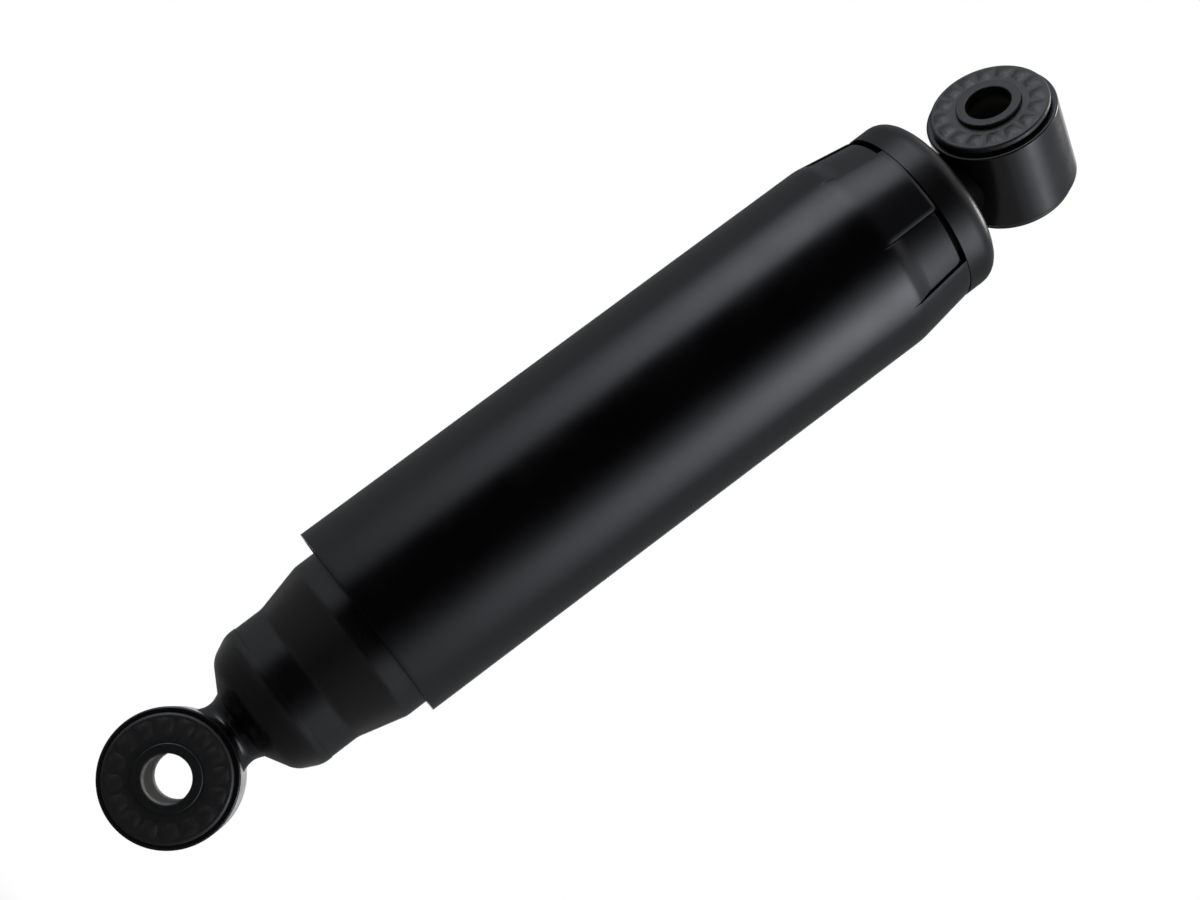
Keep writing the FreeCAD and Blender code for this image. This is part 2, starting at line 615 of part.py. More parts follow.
PIECES = {
    "lower_eye_ring": lower_eye_ring(),
    "lower_bush_rubber": bush_rubber(),
    "lower_bush_sleeve": bush_sleeve(),
    "base_cap": turned(sheet(BASE_OUTLINE, BASE_WALL)),
    "reservoir_tube": reservoir_tube(),
    "pressure_tube": ring(PRESSURE_BORE_R, PRESSURE_R, PRESSURE_Z, PRESSURE_TOP_Z),
    "base_valve_body": base_valve_body(),
    "base_check_disc": check_plate(VALVE_BOSS_R, VALVE_CHECK_R, VALVE_BLEED_CIRCLE, VALVE_TOP_Z),
    "base_check_spring": star_spring(VALVE_BOLT_R + PRESSED, VALVE_BOSS_R, VALVE_PORT_CIRCLE, VALVE_BOSS_Z),
    "compression_shims": shim_stack(VALVE_BOLT_R + PRESSED, VALVE_BLEED_CIRCLE + BLEED_OD, VALVE_Z),
    "base_valve_bolt": base_valve_bolt(),
    "base_valve_nut": hex_nut(VALVE_NUT_FLATS, VALVE_BOLT_R + PRESSED, VALVE_NUT_Z, VALVE_NUT_HEIGHT),
    "rod_guide": rod_guide(),
    "guide_bush": guide_bush(),
    "oil_seal": oil_seal(),
    "garter_spring": garter_spring(),
    "piston_rod": piston_rod(),
    "rebound_stop": ring(ROD_R - STOP_GROOVE + PRESSED, STOP_OD / 2, STOP_Z, BUMPER_Z),
    "rebound_bumper": ring(ROD_R + PRESSED, BUMPER_OD / 2, BUMPER_Z, BUMPER_TOP_Z, BUMPER_EDGE),
    "piston_backing_plate": ring(STUD_R + PRESSED, BACKING_OD / 2, BACKING_Z, SHOULDER_Z),
    "piston_check_spring": star_spring(STUD_R + PRESSED, PISTON_BOSS_R, PISTON_PORT_CIRCLE, PISTON_BOSS_Z),
    "piston_check_disc": check_plate(PISTON_BOSS_R, PISTON_CHECK_R, PISTON_BLEED_CIRCLE, PISTON_TOP_Z),
    "piston": piston(),
    "piston_band": ring(BAND_R - BAND_THICK, BAND_R, BAND_Z, BAND_Z + BAND_HEIGHT),
    "rebound_shims": shim_stack(STUD_R + PRESSED, PISTON_BLEED_CIRCLE + BLEED_OD, PISTON_Z),
    "piston_nut": hex_nut(PISTON_NUT_FLATS, STUD_R + PRESSED, PISTON_NUT_Z, PISTON_NUT_HEIGHT),
    "upper_cap": upper_cap(),
    "dust_tube": dust_tube(),
    "upper_eye_ring": upper_eye_ring(),
    "upper_bush_rubber": at_upper_eye(bush_rubber()),
    "upper_bush_sleeve": at_upper_eye(bush_sleeve()),
}

os.makedirs("parts", exist_ok=True)
for name, shape in PIECES.items():
    shape.exportStep(f"parts/{name}.step")
print(f"eye to eye, closed: {UPPER_EYE_Z:.2f} mm")
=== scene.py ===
import json
import math

import bmesh
import bpy
import numpy as np
from mathutils import Matrix, Vector


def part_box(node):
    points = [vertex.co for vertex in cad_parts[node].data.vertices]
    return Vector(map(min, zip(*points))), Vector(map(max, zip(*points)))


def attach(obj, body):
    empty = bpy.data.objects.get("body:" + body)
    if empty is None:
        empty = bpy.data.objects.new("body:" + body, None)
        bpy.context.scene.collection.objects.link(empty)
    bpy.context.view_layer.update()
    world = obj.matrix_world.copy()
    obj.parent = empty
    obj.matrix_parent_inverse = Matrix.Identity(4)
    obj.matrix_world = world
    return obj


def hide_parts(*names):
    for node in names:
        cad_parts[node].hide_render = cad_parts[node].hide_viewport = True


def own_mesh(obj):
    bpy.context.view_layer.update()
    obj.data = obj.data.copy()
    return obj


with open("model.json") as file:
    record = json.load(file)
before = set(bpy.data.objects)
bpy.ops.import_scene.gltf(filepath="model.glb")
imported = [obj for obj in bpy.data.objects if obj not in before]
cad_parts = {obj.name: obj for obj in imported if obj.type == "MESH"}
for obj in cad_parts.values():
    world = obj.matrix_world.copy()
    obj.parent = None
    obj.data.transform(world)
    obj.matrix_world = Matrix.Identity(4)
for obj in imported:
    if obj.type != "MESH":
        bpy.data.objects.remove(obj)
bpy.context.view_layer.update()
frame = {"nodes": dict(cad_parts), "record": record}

bl_info = {
    "name": "Shock absorber",
    "version": (1, 0, 0),
    "blender": (4, 5, 0),
    "location": "3D View > Sidebar > Shock",
    "description": "Builds the visible pieces and finishes of a twin-tube shock absorber",
    "category": "Add Mesh",
}

MM = 0.001
EDGE_BREAK = 0.12 * MM
POLE_MERGE = 1e-7
SHARP_ANGLE = math.radians(38)
WHITE = (1, 1, 1, 1)

# Columns round the turned pieces
EYE_COLUMNS, SLEEVE_COLUMNS, BODY_COLUMNS, WELD_COLUMNS = 192, 128, 224, 240
PAD_COLUMNS, FINGER_COLUMNS = 30, 40

# Places and sizes that the frame gives
LOWER_MOUNT, UPPER_MOUNT = frame["record"]["mounts"]
SLEEVE_BORE_R = LOWER_MOUNT["dims"]["r_mm"] * MM
UPPER_EYE_Z = UPPER_MOUNT["pos_m"][2]
UPPER_EYE_TURN = math.atan2(-UPPER_MOUNT["axis"][0], UPPER_MOUNT["axis"][1])
EYE_R, EYE_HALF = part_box("lower_eye_ring")[1].xy
FLANGE_R, FLANGE_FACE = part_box("lower_bush_rubber")[1].xy
SLEEVE_R, SLEEVE_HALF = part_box("lower_bush_sleeve")[1].xy
BASE_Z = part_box("base_cap")[0].z
BASE_R, _, SEAM_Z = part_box("base_cap")[1]
RESERVOIR_R, _, RESERVOIR_TOP_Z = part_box("reservoir_tube")[1]
DUST_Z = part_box("dust_tube")[0].z
DUST_R, _, DUST_END_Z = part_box("dust_tube")[1]
BEAD_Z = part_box("upper_cap")[0].z
CAP_R, _, CAP_TOP_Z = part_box("upper_cap")[1]
LOWER_EYE = Matrix.Identity(4)
UPPER_EYE = (
    Matrix.Translation((0, 0, UPPER_EYE_Z))
    @ Matrix.Rotation(UPPER_EYE_TURN, 4, "Z")
    @ Matrix.Rotation(math.pi, 4, "Y")
)


def linear(code):
    """Linear colour, with alpha, of an sRGB hex code."""
    shares = [int(code[i:i + 2], 16) / 255 for i in (1, 3, 5)]
    return [s / 12.92 if s <= 0.04045 else ((s + 0.055) / 1.055) ** 2.4 for s in shares] + [1.0]


def length(name, description, millimetres):
    """A length property, given in millimetres and held in metres."""
    return bpy.props.FloatProperty(
        name=name, description=description, default=millimetres * MM, unit="LENGTH", precision=5
    )


def count(name, description, default, least):
    """A whole-number property."""
    return bpy.props.IntProperty(name=name, description=description, default=default, min=least)


def bearing(name, description, degrees):
    """An angle property, given in degrees and held in radians."""
    return bpy.props.FloatProperty(
        name=name, description=description, default=math.radians(degrees), subtype="ANGLE"
    )


def colour(name, description, code):
    """A colour property, given as an sRGB hex code."""
    return bpy.props.FloatVectorProperty(
        name=name, description=description, default=linear(code), size=4, subtype="COLOR", min=0, max=1
    )


class EyeSizes(bpy.types.PropertyGroup):
    """Sizes of the two eyes and their bushes."""

    wall: length("Eye wall", "Thickness of the steel eye", 4.0)
    edge: length("Eye edge", "Rounding of the steel eye's edges", 0.8)
    flange_thick: length("Flange thickness", "Thickness of the rubber flange", 2.75)
    flange_edge: length("Flange edge", "Rounding of the rubber flange", 1.1)
    pads: count("Pads", "Moulded pads on each flange", 16, 3)
    pad_height: length("Pad height", "Height of a moulded pad", 0.5)
    pad_inset: length("Pad inset", "From the flange's rim to its pads", 1.6)
    pad_reach: length("Pad reach", "Radial length of a pad", 5.6)
    pad_gap: length("Pad gap", "Gap between two pads", 1.4)
    sleeve_edge: length("Sleeve edge", "Rounding of the sleeve's ends", 0.5)
    weld_waist: length("Weld waist", "Radius of the weld neck at its waist", 12.05)
    weld_toe: length("Weld toe", "Radius of the weld neck at its ends", 13.45)
    weld_ripple: length("Weld ripple", "Height of the ripples in the weld", 0.08)
    ripple_pitch: length("Ripple pitch", "From one weld ripple to the next", 1.9)
    upper_gap: length("Upper weld gap", "From the upper cap to the upper eye", 6.15)


class BodySizes(bpy.types.PropertyGroup):
    """Sizes of the pressed steel pieces that the frame's boxes don't give."""

    base_flat: length("Base flat", "Radius of the flat middle of the base", 8.5)
    dish_inset: length("Dish inset", "From the base's side to the edge of its dish", 4.0)
    dish_rise: length("Dish rise", "Height of the dish", 8.5)
    side_rise: length("Side rise", "From the dish's edge to the straight side", 8.0)
    press_round: length("Press round", "Bend radius of the pressed steel", 10.0)
    base_wall: length("Base wall", "Thickness of the base", 3.0)
    neck_inset: length("Neck inset", "Step from the base in to the reservoir's neck", 0.2)
    neck_length: length("Neck length", "Length of the reservoir's neck", 10.8)
    taper_length: length("Taper length", "Length of the reservoir's taper", 17.5)
    tube_wall: length("Tube wall", "Thickness of the reservoir tube", 2.0)
    roll_round: length("Roll round", "Bend radius of the rolled end", 3.5)
    roll_reach: length("Roll reach", "How far the end is rolled in", 6.0)
    bead_radius: length("Bead radius", "Radius of the cap's bead", 31.75)
    bead_height: length("Bead height", "Height of the cap's bead", 5.3)
    groove_radius: length("Groove radius", "Radius of the groove above the bead", 30.45)
    cap_height: length("Cap height", "Height of the cap's flange", 14.25)
    cap_edge: length("Cap edge", "Rounding of the cap's top edge", 7.0)
    cap_wall: length("Cap wall", "Thickness of the cap", 2.5)
    spigot_radius: length("Spigot radius", "Radius of the hole for the rod's spigot", 7.02)


class DustTubeSizes(bpy.types.PropertyGroup):
    """Sizes of the dust tube and its ring of snap tongues."""

    wall: length("Wall", "Thickness of the tube", 2.0)
    cone_length: length("Cone length", "Length of the coned end", 23.2)
    cone_drop: length("Cone drop", "How much the radius shrinks along the cone", 3.55)
    cone_round: length("Cone round", "Length over which the tube turns into the cone", 5.0)
    tongues: count("Tongues", "Tongues that hook the cap", 4, 2)
    first_tongue: bearing("First tongue", "Where the first tongue starts", -82.5)
    tongue_angle: bearing("Tongue angle", "How far round the cone a tongue reaches", 38.5)
    tongue_short: length("Tongue short", "How much shorter a tongue is than the panels", 1.6)
    step: length("Tongue step", "How far a tongue is set back", 0.9)
    slit: length("Slit", "Width of the slits beside a tongue", 0.3)
    panel_round: length("Panel round", "Reach of the rounding of the panels' edges", 1.9)
    panel_drop: length("Panel drop", "How far a panel's last edge falls away", 0.42)
    panel_lead: length("Panel lead", "How far a panel's first edge falls away", 0.08)
    corner: length("Panel corner", "Corner radius of the panels", 2.4)
    step_run: length("Step run", "Length over which a tongue sinks in", 8.0)
    tongue_round: length("Tongue round", "Rounding of the tongues' edges", 0.35)
    lean: bearing("Lean", "How far the tube leans aside on its tongues", 0.48)


class ValveSizes(bpy.types.PropertyGroup):
    """Sizes of the star springs that hold the check plates down."""

    fingers: count("Fingers", "Fingers of a star spring", 6, 3)
    spring_thick: length("Spring thickness", "Thickness of a star spring", 0.4)
    foot_bore: length("Foot bore", "Bore radius of the foot valve's spring", 4.02)
    foot_hub: length("Foot hub", "Hub radius of the foot valve's spring", 6.0)
    piston_bore: length("Piston bore", "Bore radius of the piston's spring", 6.02)
    piston_hub: length("Piston hub", "Hub radius of the piston's spring", 8.0)
    spring_keep: bpy.props.FloatProperty(
        name="Spring keep", description="Share of a spring's height that is left when its plate is up",
        default=0.58, min=0, max=1, subtype="FACTOR",
    )


class Colours(bpy.types.PropertyGroup):
    """Colours of the finishes."""

    paint: colour("Paint", "Stoved paint on the steel", "#060607")
    plastic: colour("Plastic", "Moulded dust tube", "#020203")
    rubber: colour("Rubber", "Moulded bushes", "#080809")
    bloom: colour("Rubber bloom", "Paler bloom on the rubber", "#0f0f10")
    phosphate: colour("Phosphate", "Coating on the sleeves", "#3d3e3f")
    reamed: colour("Reamed steel", "Bare steel at the mouths of the sleeves' bores", "#4a4942")
    # The depths of the two bores are painted: the lower one pale, painted light for the white room reflected
    # in it; the upper one dark, painted shade
    bore_depth_painted_light: colour("Dull bore", "Dull coating deep in the lower sleeve's bore", "#70706a")
    bore_depth_painted_shade: colour("Oiled bore", "Oiled coating deep in the upper sleeve's bore", "#262627")
    floor: colour("Floor", "Pale floor", "#e8e8e6")
    glow: colour("Glow", "Cool light of the softboxes", "#f3f6ff")


class StageSettings(bpy.types.PropertyGroup):
    """Floor, lamps and camera."""

    floor_drop: length("Floor drop", "From the lower eye's centre down to the floor", 180.0)
    lamp_level: bpy.props.FloatProperty(
        name="Lamp level", description="Brightness of the softboxes", default=5.3, min=0
    )
    fill_level: bpy.props.FloatProperty(
        name="Fill level", description="Brightness of the room", default=0.45, min=0
    )
    focal: bpy.props.FloatProperty(
        name="Focal length", description="In millimetres", default=67.05, min=1, unit="CAMERA"
    )


SETTINGS = {
    "shock_eyes": EyeSizes,
    "shock_body": BodySizes,
    "shock_dust": DustTubeSizes,
    "shock_valves": ValveSizes,
    "shock_colours": Colours,
    "shock_stage": StageSettings,
}


# Surfaces

def unit(vectors):
    """Vectors divided by their lengths."""
    return vectors / np.linalg.norm(vectors, axis=-1, keepdims=True)


def smooth(value, low, high):
    """0 below low, 1 above high, and a smooth cubic step between them."""
    t = np.clip((value - low) / (high - low), 0, 1)
    return t * t * (3 - 2 * t)


def outline(corners, arc_steps=8, run_steps=10):
    """Points round a closed outline of (radius, height[, round]) corners.

    Each corner is an arc of its own radius, touching both of its sides. The straight runs between
    arcs get points that crowd towards their ends, so that flats stay flat where they meet an arc.
    The count of points on the runs may be one for all, or one for the run after each corner.
    """
    points = np.array([corner[:2] for corner in corners])
    rounds = np.array([corner[2] if len(corner) > 2 else EDGE_BREAK for corner in corners])
    back = unit(np.roll(points, 1, axis=0) - points)
    ahead = unit(np.roll(points, -1, axis=0) - points)
    half = np.arccos(np.sum(back * ahead, axis=1)) / 2
    reach = (rounds / np.tan(half))[:, None]
    start, end = points + back * reach, points + ahead * reach
    centre = points + unit(back + ahead) * (rounds / np.sin(half))[:, None]
    sweep = (math.pi - 2 * half)[:, None, None]
    t = np.linspace(0, 1, arc_steps)[None, :, None]
    arcs = centre[:, None] + (
        np.sin((1 - t) * sweep) * (start - centre)[:, None] + np.sin(t * sweep) * (end - centre)[:, None]
    ) / np.sin(sweep)
    runs = np.broadcast_to(run_steps, len(arcs))
    path = []
    for arc, first, last, steps in zip(arcs, end, np.roll(start, -1, axis=0), runs):
        s = np.linspace(0, 1, steps + 2)[1:-1, None]
        path += [arc, first + s**2 / (s**2 + (1 - s) ** 2) * (last - first)]
    return np.vstack(path)


def pressed(bend_line, wall):
    """Corners of a pressed wall: a bend line, and the same line moved to its left by the wall.

    Each moved corner lies on the bisector of its bend. Its round is the bend's own, less the wall
    on the inside of the bend and plus the wall on the outside.
    """
    points = np.array([corner[:2] for corner in bend_line])
    rounds = np.array([corner[2] if len(corner) > 2 else 0.0 for corner in bend_line])
    ways = unit(np.diff(points, axis=0))
    lefts = np.stack([-ways[:, 1], ways[:, 0]], axis=-1)
    before, after = np.vstack([lefts[:1], lefts]), np.vstack([lefts, lefts[-1:]])
    moved = points + (before + after) * (wall / (1 + np.sum(before * after, axis=1)))[:, None]
    turns_left = np.sum(before * np.vstack([ways, ways[-1:]]), axis=1) > 0
    bent = np.maximum(rounds + np.where(turns_left, -wall, wall), EDGE_BREAK)
    least = np.where(points[:, 0] > 0, EDGE_BREAK, 0.0)
    inner = np.where(rounds > 0, bent, least)
    outer = np.maximum(rounds, least)
    sides = [np.column_stack([points, outer]), np.column_stack([moved, inner])[::-1]]
    return [tuple(corner) for corner in np.vstack(sides)]


def even_angles(columns):
    """Angles of evenly spaced columns round a whole turn."""
    return np.linspace(0, 2 * math.pi, columns, endpoint=False)


def about_z(radius, angle, height):
    """Points at radii, angles and heights about Z."""
    return np.stack([radius * np.cos(angle), radius * np.sin(angle), height + 0 * angle], axis=-1)


def turned(profile, columns):
    """Grid of a profile turned about Z: row i is profile point i, and column j is an even angle."""
    return about_z(profile[:, :1], even_angles(columns), profile[:, 1:])


def along_bore(grid):
    """A grid turned about Z, laid along Y as an eye's bore is."""
    return np.stack([grid[..., 0], grid[..., 2], -grid[..., 1]], axis=-1)


def placed(grid, matrix):
    """A grid moved by a 4 by 4 matrix."""
    moves = np.array(matrix)
    return grid @ moves[:3, :3].T + moves[:3, 3]


def add_piece(name, grid, body, material, nodes=()):
    """Makes a closed grid, whose rows and columns both come round, into a piece that rides on a body.

    Quads join each point to the next row and column. Their order is turned round if the volume that
    they enclose is negative, so that faces point outwards. Points that meet at a pole are merged.
    """
    rows, columns, _ = grid.shape
    index = np.arange(rows * columns).reshape(rows, columns)
    right, up = np.roll(index, -1, axis=1), np.roll(index, -1, axis=0)
    quads = np.stack([index, right, np.roll(right, -1, axis=0), up], axis=-1).reshape(-1, 4)
    points = grid.reshape(-1, 3)
    a, b, c, d = (points[quads[:, i]] for i in range(4))
    if np.sum(np.cross(a - c, b - d) * (a + b + c + d)) < 0:
        quads = quads[:, ::-1]
    mesh = bpy.data.meshes.new(name)
    mesh.vertices.add(len(points))
    mesh.vertices.foreach_set("co", points.astype(np.float32).ravel())
    mesh.loops.add(quads.size)
    mesh.loops.foreach_set("vertex_index", quads.astype(np.int32).ravel())
    mesh.polygons.add(len(quads))
    mesh.polygons.foreach_set("loop_start", np.arange(0, quads.size, 4, dtype=np.int32))
    mesh.update(calc_edges=True)
    edit = bmesh.new()
    edit.from_mesh(mesh)
    bmesh.ops.remove_doubles(edit, verts=edit.verts, dist=POLE_MERGE)
    loose = [edge for edge in edit.edges if not edge.link_faces]
    bmesh.ops.delete(edit, geom=loose, context="EDGES")
    edit.to_mesh(mesh)
    edit.free()
    mesh.shade_smooth()
    mesh.set_sharp_from_angle(angle=SHARP_ANGLE)
    mesh.materials.append(material)
    piece = bpy.data.objects.new(name, mesh)
    bpy.context.scene.collection.objects.link(piece)
    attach(piece, body)
    if nodes:
        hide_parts(*nodes)
    return piece


# Materials

def add_node(tree, kind, inputs=(), **settings):
    """Adds one node, sets its properties, and gives each named input a link or a value."""
    made = tree.nodes.new("ShaderNode" + kind)
    for key, value in settings.items():
        setattr(made, key, value)
    for name, value in dict(inputs).items():
        if isinstance(value, bpy.types.NodeSocket):
            tree.links.new(value, made.inputs[name])
        else:
            made.inputs[name].default_value = value
    return made


def per(millimetres):
    """Texture scale whose features are about this many millimetres across."""
    return 1 / (millimetres * MM)


def begin_material(name):
    """An empty material, its node tree and its Object coordinates."""
    material = bpy.data.materials.new(name)
    material.use_nodes = True
    tree = material.node_tree
    tree.nodes.clear()
    return material, tree, add_node(tree, "TexCoord").outputs["Object"]


def end_material(tree, inputs):
    """Adds the surface shader and the output."""
    shader = add_node(tree, "BsdfPrincipled", inputs)
    add_node(tree, "OutputMaterial", {"Surface": shader.outputs["BSDF"]})


def spread(tree, height, low, high):
    """A texture's middle range of values spread over low to high."""
    least, most = 0.3, 0.7
    levels = {"Value": height, "From Min": least, "From Max": most, "To Min": low, "To Max": high}
    return add_node(tree, "MapRange", levels).outputs["Result"]


def stoved_paint(name, rough, mirror):
    """Stoved enamel, dipped on pressed steel and baked, with a range of roughness and a mirror strength."""
    # Dipping leaves a faint orange peel and cloudy gloss, so reflections are soft and a little uneven
    material, tree, place = begin_material(name)
    peel = add_node(tree, "TexNoise", {"Vector": place, "Scale": per(1.6), "Detail": 1.0}).outputs["Fac"]
    cloud = add_node(tree, "TexNoise", {"Vector": place, "Scale": per(9.0), "Detail": 3.0}).outputs["Fac"]
    bump = add_node(tree, "Bump", {"Height": peel, "Strength": 0.06, "Distance": 0.05 * MM})
    end_material(tree, {
        "Base Color": bpy.context.scene.shock_colours.paint,
        "Roughness": spread(tree, cloud, *rough),
        "Specular IOR Level": mirror,
        "Normal": bump.outputs["Normal"],
    })
    return material


def moulded_plastic():
    """Polypropylene, moulded in a lightly grained tool."""
    # The grain gives reflections a fine tooth, and the melt's flow leaves them slightly cloudy
    material, tree, place = begin_material("moulded_black_polypropylene")
    grain = add_node(tree, "TexNoise", {"Vector": place, "Scale": per(0.7), "Detail": 2.0}).outputs["Fac"]
    flow = add_node(tree, "TexNoise", {"Vector": place, "Scale": per(14.0), "Detail": 2.0}).outputs["Fac"]
    bump = add_node(tree, "Bump", {"Height": grain, "Strength": 0.08, "Distance": 0.04 * MM})
    end_material(tree, {
        "Base Color": bpy.context.scene.shock_colours.plastic,
        "Roughness": spread(tree, flow, 0.21, 0.27),
        "Specular IOR Level": 0.36,
        "Normal": bump.outputs["Normal"],
    })
    return material


def moulded_rubber():
    """Natural rubber filled with carbon black, moulded."""
    # Matt, with a pale waxy bloom in patches and the tooth of a worn mould
    material, tree, place = begin_material("moulded_natural_rubber")
    colours = bpy.context.scene.shock_colours
    tooth = add_node(tree, "TexNoise", {"Vector": place, "Scale": per(0.9), "Detail": 4.0}).outputs["Fac"]
    patch = add_node(tree, "TexNoise", {"Vector": place, "Scale": per(6.0), "Detail": 4.0}).outputs["Fac"]
    bloom = {"Factor": spread(tree, patch, 0.0, 1.0), "A": colours.rubber, "B": colours.bloom}
    tint = add_node(tree, "Mix", bloom, data_type="RGBA")
    bump = add_node(tree, "Bump", {"Height": tooth, "Strength": 0.35, "Distance": 0.12 * MM})
    end_material(tree, {
        "Base Color": tint.outputs["Result"],
        "Roughness": spread(tree, tooth, 0.38, 0.52),
        "Specular IOR Level": 0.58,
        "Normal": bump.outputs["Normal"],
    })
    return material


def turned_steel(turn, height, depth):
    """Turned steel with a thin phosphate coat, for a bore that is turned about Z and raised."""
    # Phosphate is a dull dark grey. The bore is reamed bright at its mouths. Its depth is matt and has a
    # painted tone: painted light in the lower bore for the white room reflected there, painted shade in the
    # upper bore
    material, tree, place = begin_material("turned_phosphated_steel")
    colours = bpy.context.scene.shock_colours
    off_wall, on_wall = SLEEVE_BORE_R + 0.5 * MM, SLEEVE_BORE_R + 0.2 * MM
    reamed_end, depth_start = SLEEVE_HALF - 4 * MM, SLEEVE_HALF - 9 * MM
    matt, ring_pitch, repeats = 0.004, 0.6, 3.2
    centred = {"Vector": place, "Location": (0, 0, height), "Rotation": (0, 0, turn)}
    bore = add_node(tree, "Mapping", centred, vector_type="TEXTURE").outputs["Vector"]
    across = add_node(tree, "VectorMath", {0: bore, 1: (1, 0, 1)}, operation="MULTIPLY").outputs["Vector"]
    radius = add_node(tree, "VectorMath", {0: across}, operation="LENGTH").outputs["Value"]
    from_wall = {"Value": radius, "From Min": off_wall, "From Max": on_wall}
    in_bore = add_node(tree, "MapRange", from_wall).outputs["Result"]
    along = add_node(tree, "SeparateXYZ", {"Vector": bore}).outputs["Y"]
    along = add_node(tree, "Math", {0: along}, operation="ABSOLUTE").outputs[0]
    from_mouth = {"Value": along, "From Min": reamed_end, "From Max": depth_start}
    deep = add_node(tree, "MapRange", from_mouth).outputs["Result"]
    deep = add_node(tree, "Math", {0: deep, 1: in_bore}, operation="MULTIPLY").outputs[0]
    bare = add_node(tree, "Math", {0: 1.0, 1: deep}, operation="SUBTRACT").outputs[0]
    reamed = {"Factor": in_bore, "A": colours.phosphate, "B": colours.reamed}
    tint = add_node(tree, "Mix", reamed, data_type="RGBA").outputs["Result"]
    # The depth's colour is painted light in the lower bore and painted shade in the upper one
    tint = add_node(tree, "Mix", {"Factor": deep, "A": tint, "B": depth}, data_type="RGBA")
    # A wave texture draws about 3.2 rings over each unit, so its unit is that many pitches long
    wave = {"Vector": bore, "Scale": per(repeats * ring_pitch), "Distortion": 0.6}
    rings = add_node(tree, "TexWave", wave, wave_type="RINGS", rings_direction="Y").outputs["Fac"]
    grit = add_node(tree, "TexNoise", {"Vector": place, "Scale": per(0.8), "Detail": 3.0}).outputs["Fac"]
    bump = add_node(tree, "Bump", {"Height": rings, "Strength": 0.15, "Distance": 0.03 * MM})
    end_material(tree, {
        "Base Color": tint.outputs["Result"],
        "Metallic": bare,
        "Roughness": spread(tree, grit, 0.36, 0.52),
        "Specular IOR Level": matt,
        "Normal": bump.outputs["Normal"],
    })
    return material


def grained(name, codes, metallic, roughness, grain, stretch):
    """A finish of two colours and a range of gloss, both following a grain of a given size and stretch."""
    material, tree, place = begin_material(name)
    drawn = add_node(tree, "Mapping", {"Vector": place, "Scale": (1, 1, 1 / stretch)}).outputs["Vector"]
    level = add_node(tree, "TexNoise", {"Vector": drawn, "Scale": per(grain), "Detail": 3.0}).outputs["Fac"]
    dark, pale = (linear(code) for code in codes)
    mottle = {"Factor": spread(tree, level, 0.0, 1.0), "A": dark, "B": pale}
    tint = add_node(tree, "Mix", mottle, data_type="RGBA")
    bump = add_node(tree, "Bump", {"Height": level, "Strength": 0.1, "Distance": 0.05 * MM})
    end_material(tree, {
        "Base Color": tint.outputs["Result"],
        "Metallic": metallic,
        "Roughness": spread(tree, level, *roughness),
        "Normal": bump.outputs["Normal"],
    })
    return material


# Finishes of the pieces inside: name, two colours, metallic, range of roughness, grain in mm and
# the stretch of the grain along Z
INNER_FINISHES = {
    # Ground and hard chromed: a bright mirror with fine marks round the rod
    "rod_chrome": ("ground_hard_chrome", ("#c6c9cd", "#d3d5d8"), 1.0, (0.07, 0.14), 0.8, 0.1),
    # Drawn through a die: grey, with long streaks
    "drawn_steel": ("cold_drawn_steel", ("#8a8b8d", "#a2a3a4"), 1.0, (0.22, 0.36), 0.9, 20.0),
    # Blanked and tempered: smooth and slightly blue
    "spring_steel": ("tempered_spring_steel", ("#62666d", "#767a80"), 1.0, (0.2, 0.3), 2.0, 1.0),
    # Pressed powder, steam treated: dark grey and finely pitted
    "sintered_iron": ("steam_treated_sintered_iron", ("#26282b", "#3b3d41"), 0.8, (0.4, 0.6), 0.5, 1.0),
    # Rolled bronze strip: warm and softly bright
    "bearing_bronze": ("rolled_bearing_bronze", ("#a37c45", "#bd9659"), 1.0, (0.24, 0.34), 1.2, 4.0),
    # Filled, machined strip: dull green-grey with darker specks
    "band_plastic": ("filled_slippery_plastic", ("#22302d", "#30403c"), 0.0, (0.4, 0.55), 0.6, 1.0),
    # Moulded and trimmed: black with a faint oily sheen
    "seal_rubber": ("moulded_nitrile_rubber", ("#141516", "#1c1d1e"), 0.0, (0.38, 0.5), 0.9, 1.0),
}


# Finishes of the pieces in view, made by their own functions
FINISHES = {
    # A full coat on the eyes, base and reservoir: semi-gloss
    "painted_steel": lambda: stoved_paint("stoved_gloss_enamel", (0.2, 0.28), 0.42),
    # A thinner coat on the cap: satin
    "satin_steel": lambda: stoved_paint("stoved_satin_enamel", (0.28, 0.36), 0.27),
    # On the upper weld: the same paint nearly without gloss, a painted shade that keeps it dark between the
    # cap and the eye
    "shaded_weld_paint": lambda: stoved_paint("stoved_enamel_painted_shade", (0.5, 0.62), 0.04),
    "dust_plastic": moulded_plastic,
    "bush_rubber": moulded_rubber,
}
made_finishes = {}


def finish(slot):
    """The material of a slot, made the first time that it is asked for."""
    if slot not in made_finishes:
        made_finishes[slot] = FINISHES[slot]() if slot in FINISHES else grained(*INNER_FINISHES[slot])
    return made_finishes[slot]


# Shapes of the pieces

def eye_profile(sizes):
    """Outline of the steel eye: a ring with rounded outer edges."""
    bore = EYE_R - sizes.wall
    return outline([
        (bore, -EYE_HALF), (EYE_R, -EYE_HALF, sizes.edge), (EYE_R, EYE_HALF, sizes.edge), (bore, EYE_HALF)
    ])


